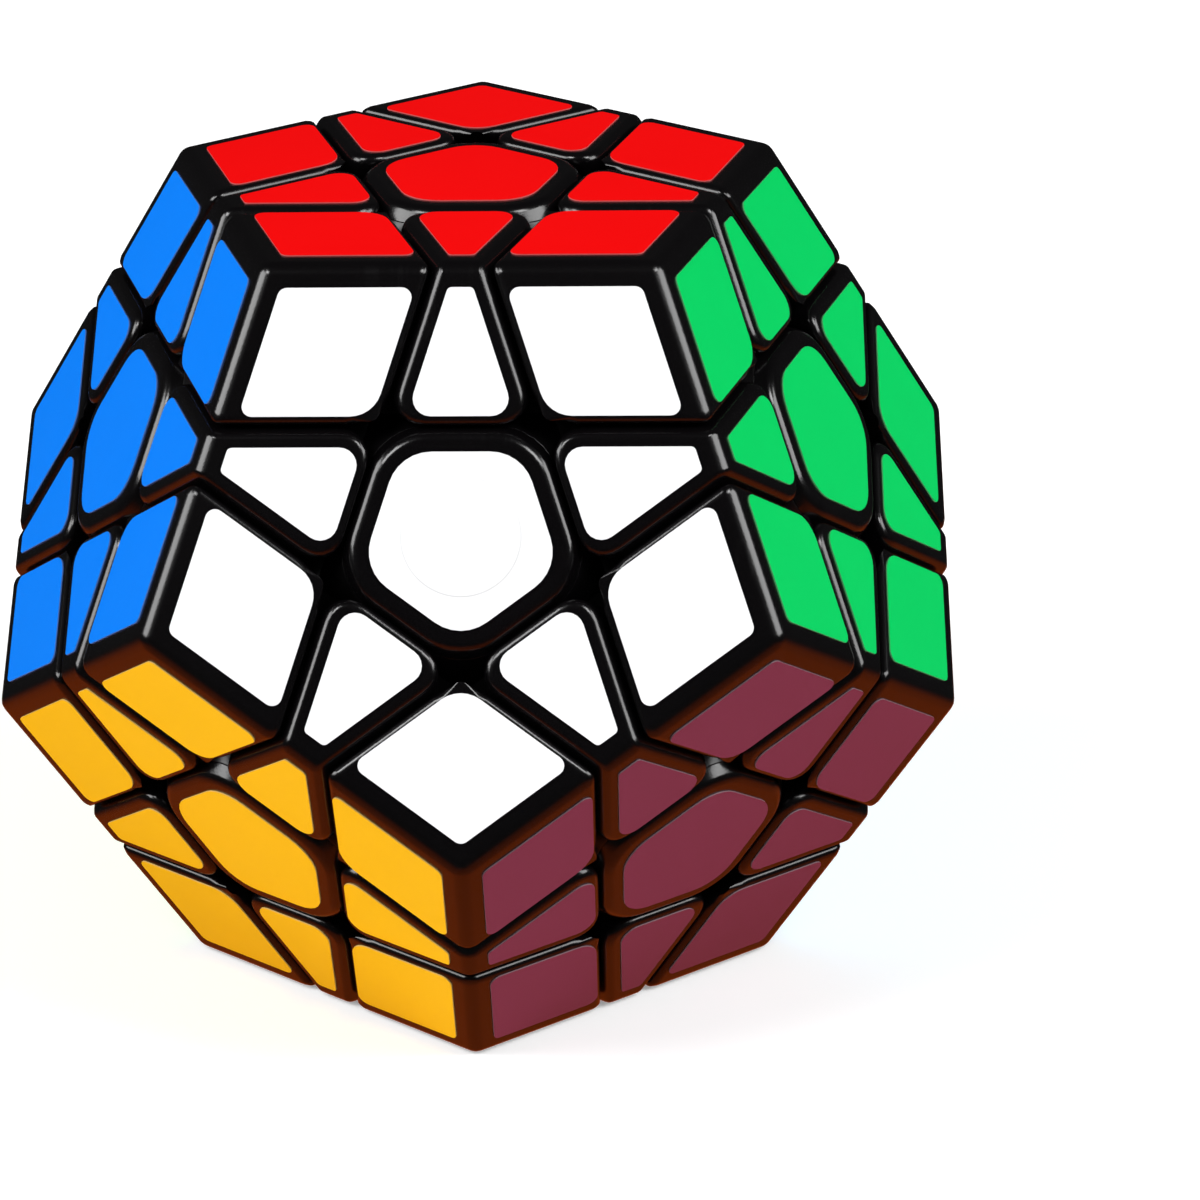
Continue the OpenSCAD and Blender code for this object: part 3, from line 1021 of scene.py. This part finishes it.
def geometry_tree(name: str, inputs: dict[str, object]) -> bpy.types.NodeTree:
    """Make a geometry tree that takes geometry and a list of named values, and gives geometry."""
    kinds = {float: "NodeSocketFloat", int: "NodeSocketInt", bpy.types.Material: "NodeSocketMaterial"}
    tree = bpy.data.node_groups.new(name, "GeometryNodeTree")
    for way in ("INPUT", "OUTPUT"):
        tree.interface.new_socket("Geometry", in_out=way, socket_type="NodeSocketGeometry")
    for label, value in inputs.items():
        tree.interface.new_socket(label, in_out="INPUT", socket_type=kinds[type(value)])
    return tree


def spread(name: str, tree: bpy.types.NodeTree, inputs: dict[str, object], points: list[Vector],
           turns: list[Quaternion], outlines: list[int]) -> bpy.types.Object:
    """Let a geometry tree put its shapes on points.

    Args:
        name: The new object's name.
        tree: The geometry tree.
        inputs: The tree's named values.
        points: Where the shapes go.
        turns: How each shape is turned.
        outlines: Which shape each point takes, if the tree has several.

    Returns:
        The shapes, as a plain mesh at the origin.
    """
    cloud = bpy.data.meshes.new("places")
    cloud.from_pydata(points, [], [])
    for label, kind, values in (("turn", "QUATERNION", turns), ("outline", "INT", outlines)):
        attribute = cloud.attributes.new(label, kind, "POINT")
        for point, value in zip(attribute.data, values):
            point.value = value
    obj = linked("places", cloud)
    modifier = obj.modifiers.new("shapes", "NODES")
    modifier.node_group = tree
    for item in tree.interface.items_tree:
        if item.item_type == "SOCKET" and item.in_out == "INPUT" and item.name in inputs:
            modifier[item.identifier] = inputs[item.name]
    return frozen(obj, name)


# ---- Mechanism ----


@dataclass(frozen=True)
class SpringSizes:
    """Sizes of a tension spring that the frame doesn't hold.

    Attributes:
        wire: Diameter of the wire.
        turns: Number of turns.
        steps: Points along one turn.
        sides: Points round the wire.
    """

    wire: float = 0.7 * MM
    turns: float = 5.0
    steps: int = 32
    sides: int = 12


class Mechanism:
    """The core, screws, washers, springs and feet inside the shells."""

    def __init__(self, solid: Dodecahedron, finishes: Finishes) -> None:
        """Keep the geometry and the finishes."""
        self.solid = solid
        self.finishes = finishes

    def build(self) -> None:
        """Dress the CAD nodes that stay and wind the springs."""
        feet = [f"{layer}_{kind}_feet" for layer in ("white", "sky", "lime", "fixed")
                for kind in ("edge", "corner")]
        for names, finish in ((feet, "foot"), (["core"], "core"), (["tension_screws"], "screw"),
                              (["washers"], "washer")):
            for name in names:
                self._dress(bpy.data.objects[name], self.finishes.by_name[finish])
                log.info("%s: dressed in %s", name, finish)
        self._springs(SpringSizes())

    @staticmethod
    def _dress(obj: bpy.types.Object, material: bpy.types.Material) -> None:
        """Give a CAD node its finish."""
        obj.data.materials.clear()
        obj.data.materials.append(material)

    def _springs(self, sizes: SpringSizes) -> None:
        """Wind one spring on each face's axis, between the heights that the CAD springs hold."""
        s = self.solid
        points = [v.co - s.core for v in bpy.data.objects["springs"].data.vertices]
        up = s.normal(Face.RED)
        near = [p for p in points if p.normalized().dot(up) > math.cos(s.face_angle / 2)]
        low, high = min(p.z for p in near), max(p.z for p in near)
        outer = max(math.hypot(p.x, p.y) for p in near)
        inputs = {"Mean Radius": outer - sizes.wire / 2, "Wire Radius": sizes.wire / 2,
                  "Height": high - low - sizes.wire, "Turns": sizes.turns,
                  "Steps": sizes.steps, "Steel": self.finishes.by_name["spring"]}
        normals = [s.normal(f) for f in Face]
        piece = spread("springs_wound", self._spring_tree(inputs, sizes.sides), inputs,
                       [s.core + n * (low + sizes.wire / 2) for n in normals],
                       [Vector((0, 0, 1)).rotation_difference(n) for n in normals], [])
        stand_in(piece, "springs", FIXED_BODY)

    @staticmethod
    def _spring_tree(inputs: dict[str, object], sides: int) -> bpy.types.NodeTree:
        """Build the tree that sweeps a round wire along a helix on each point."""
        tree = geometry_tree("wound_spring", inputs)
        w = Wiring(tree)
        given = w.add("NodeGroupInput").outputs
        helix = w.add("GeometryNodeCurveSpiral", resolution=given["Steps"], rotations=given["Turns"],
                      start_radius=given["Mean Radius"], end_radius=given["Mean Radius"],
                      height=given["Height"])
        wire = w.add("GeometryNodeCurvePrimitiveCircle", resolution=sides, radius=given["Wire Radius"])
        swept = w.add("GeometryNodeCurveToMesh", curve=helix.outputs[0], profile_curve=wire.outputs[0],
                      fill_caps=True)
        turn = w.add("GeometryNodeInputNamedAttribute", data_type="QUATERNION", name="turn")
        placed = w.add("GeometryNodeInstanceOnPoints", points=given["Geometry"],
                       instance=swept.outputs[0], rotation=turn.outputs[0])
        real = w.add("GeometryNodeRealizeInstances", geometry=placed.outputs[0])
        steel = w.add("GeometryNodeSetMaterial", geometry=real.outputs[0], material=given["Steel"])
        round_wire = w.add("GeometryNodeSetShadeSmooth", geometry=steel.outputs[0], shade_smooth=True)
        out = w.add("NodeGroupOutput")
        w.join(round_wire.outputs[0], out.inputs[0])
        return tree


# ---- Camera, lights and floor ----


@dataclass(frozen=True)
class Camera:
    """Where the camera stands and what it sees.

    Attributes:
        azimuth: Degrees towards +X from straight in front.
        elevation: Degrees above the core.
        roll: Degrees about the line of sight.
        distance: Distance from the core.
        lens: Focal length in millimetres.
        sensor: Width of the sensor in millimetres.
        shift: Shift of the frame across and up.
    """

    azimuth: float = 2.67
    elevation: float = 24.36
    roll: float = -1.23
    distance: float = 396.5 * MM
    lens: float = 118.8
    sensor: float = 36.0
    shift: tuple[float, float] = (0.1004, -0.039)

    def build(self, core: Vector) -> None:
        """Make the camera and make it the scene's own.

        Args:
            core: The point that the line of sight passes through.
        """
        around, up, roll = (math.radians(v) for v in (self.azimuth, self.elevation, self.roll))
        back = Vector((math.sin(around) * math.cos(up), -math.cos(around) * math.cos(up), math.sin(up)))
        level = Vector((math.cos(around), math.sin(around), 0.0))
        plumb = back.cross(level)
        right = level * math.cos(roll) + plumb * math.sin(roll)
        above = plumb * math.cos(roll) - level * math.sin(roll)
        data = bpy.data.cameras.new("camera")
        data.lens = self.lens
        data.sensor_width = self.sensor
        data.shift_x, data.shift_y = self.shift
        data.clip_start = 0.01
        camera = linked("camera", data)
        turn = Matrix((right, above, back)).transposed().to_4x4()
        camera.matrix_world = Matrix.Translation(core + back * self.distance) @ turn
        bpy.context.scene.camera = camera


@dataclass(frozen=True)
class Softbox:
    """One soft light that faces the puzzle.

    Attributes:
        name: The light's name.
        place: Where it hangs, in metres from the core.
        width: Its width in metres.
        height: Its height in metres.
        power: Its power in watts.
        colour: Its linear colour.
    """

    name: str
    place: tuple[float, float, float]
    width: float
    height: float
    power: float
    colour: tuple[float, float, float] = (1.0, 1.0, 1.0)

    def build(self, core: Vector) -> None:
        """Hang the light so that it faces the core."""
        data = bpy.data.lights.new(self.name, "AREA")
        data.shape = "RECTANGLE"
        data.size, data.size_y = self.width, self.height
        data.energy = self.power
        data.color = self.colour
        lamp = linked(self.name, data)
        lamp.location = core + Vector(self.place)
        lamp.rotation_euler = Vector(self.place).to_track_quat("Z", "Y").to_euler()


@dataclass(frozen=True)
class Studio:
    """The floor, the light of the room and the softboxes.

    Attributes:
        floor_size: Width of the paper that the puzzle stands on.
        floor_glow: Light that the camera sees added to the paper.
        room: Strength of the even light that falls on everything.
        gloss_room: Strength of the dim room that shows in reflections.
        warm_floor: Colour of the dim warmth that reflections from below pick up.
        warm_from: Height of a reflection's direction at which the warmth begins.
        warm_rise: How fast the warmth grows below that height.
        paper_grey: How much light the paper throws back.
        boxes: The softboxes.
    """

    floor_size: float = 6.0
    floor_glow: float = 0.3
    room: float = 0.2
    gloss_room: float = 0.02
    warm_floor: tuple[float, float, float] = (0.6, 0.09, 0.01)
    warm_from: float = -0.3
    warm_rise: float = 4.0
    paper_grey: float = 0.93
    boxes: tuple[Softbox, ...] = (
        Softbox("key_left", (-0.5, -0.42, 0.8), 0.3, 0.3, 3.6),
        Softbox("key_right", (0.52, -0.36, 0.8), 0.3, 0.3, 3.4),
        Softbox("left_box", (-0.85, -0.22, 0.5), 0.6, 0.45, 6.4),
        Softbox("right_box", (0.85, -0.18, 0.5), 0.6, 0.45, 6.0),
    )

    def build(self, core: Vector) -> None:
        """Lay the floor, light the room and hang the boxes."""
        mesh = bmesh.new()
        bmesh.ops.create_grid(mesh, x_segments=1, y_segments=1, size=self.floor_size / 2)
        floor = new_object("floor", mesh)
        floor.visible_glossy = False
        paper = bpy.data.materials.new("pale_paper")
        paper.use_nodes = True
        shader = paper.node_tree.nodes["Principled BSDF"]
        shader.inputs["Base Color"].default_value = (*[self.paper_grey] * 3, 1.0)
        shader.inputs["Roughness"].default_value = 0.9
        shader.inputs["Emission Color"].default_value = (1.0, 1.0, 1.0, 1.0)
        w = Wiring(paper.node_tree)
        seen = w.add("ShaderNodeLightPath").outputs["Is Camera Ray"]
        w.join(w.math("MULTIPLY", seen, self.floor_glow), shader.inputs["Emission Strength"])
        floor.data.materials.append(paper)
        floor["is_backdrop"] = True
        self._room()
        for box in self.boxes:
            box.build(core)
        view = bpy.context.scene.view_settings
        view.view_transform = "Standard"
        view.look = "None"

    def _room(self) -> None:
        """Show the camera a white room, light the puzzle evenly and keep its reflections dim."""
        world = bpy.data.worlds.new("room")
        bpy.context.scene.world = world
        world.use_nodes = True
        w = Wiring(world.node_tree)
        back = world.node_tree.nodes["Background"]
        path = w.add("ShaderNodeLightPath").outputs
        height = w.add("ShaderNodeSeparateXYZ", vector=w.add("ShaderNodeTexCoord").outputs["Generated"])
        depth = w.math("SUBTRACT", self.warm_from, height.outputs["Z"])
        below = w.math("MINIMUM", w.math("MAXIMUM", w.math("MULTIPLY", depth, self.warm_rise), 0.0), 1.0)
        dim = (*[self.gloss_room] * 3, 1.0)
        seen = self._mix(w, below, dim, (*self.warm_floor, 1.0))
        lit = self._mix(w, path["Is Glossy Ray"], (*[self.room] * 3, 1.0), seen)
        w.join(self._mix(w, path["Is Camera Ray"], lit, (1.0, 1.0, 1.0, 1.0)), back.inputs["Color"])

    @staticmethod
    def _mix(w: Wiring, share: bpy.types.NodeSocket, first: object, second: object) -> bpy.types.NodeSocket:
        """Mix two colours, or sockets that hold colours."""
        node = w.add("ShaderNodeMix", data_type="RGBA")
        w.join(share, node.inputs["Factor"])
        w.feed(node.inputs[6], first)
        w.feed(node.inputs[7], second)
        return node.outputs[2]


def main() -> None:
    """Build the puzzle around its frame."""
    logging.basicConfig(level=logging.INFO, format="%(name)s: %(message)s")
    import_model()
    solid = Dodecahedron()
    Camera().build(solid.core)
    Studio().build(solid.core)
    finishes = Finishes()
    sizes = StickerSizes()
    moulding = Moulding(solid, sizes.thickness)
    Shells(moulding, finishes).build()
    Centres(moulding, finishes).build()
    Stickers(solid, finishes, sizes).build()
    CentreDisc().build(solid, finishes)
    Mechanism(solid, finishes).build()


if __name__ == "__main__":
    main()
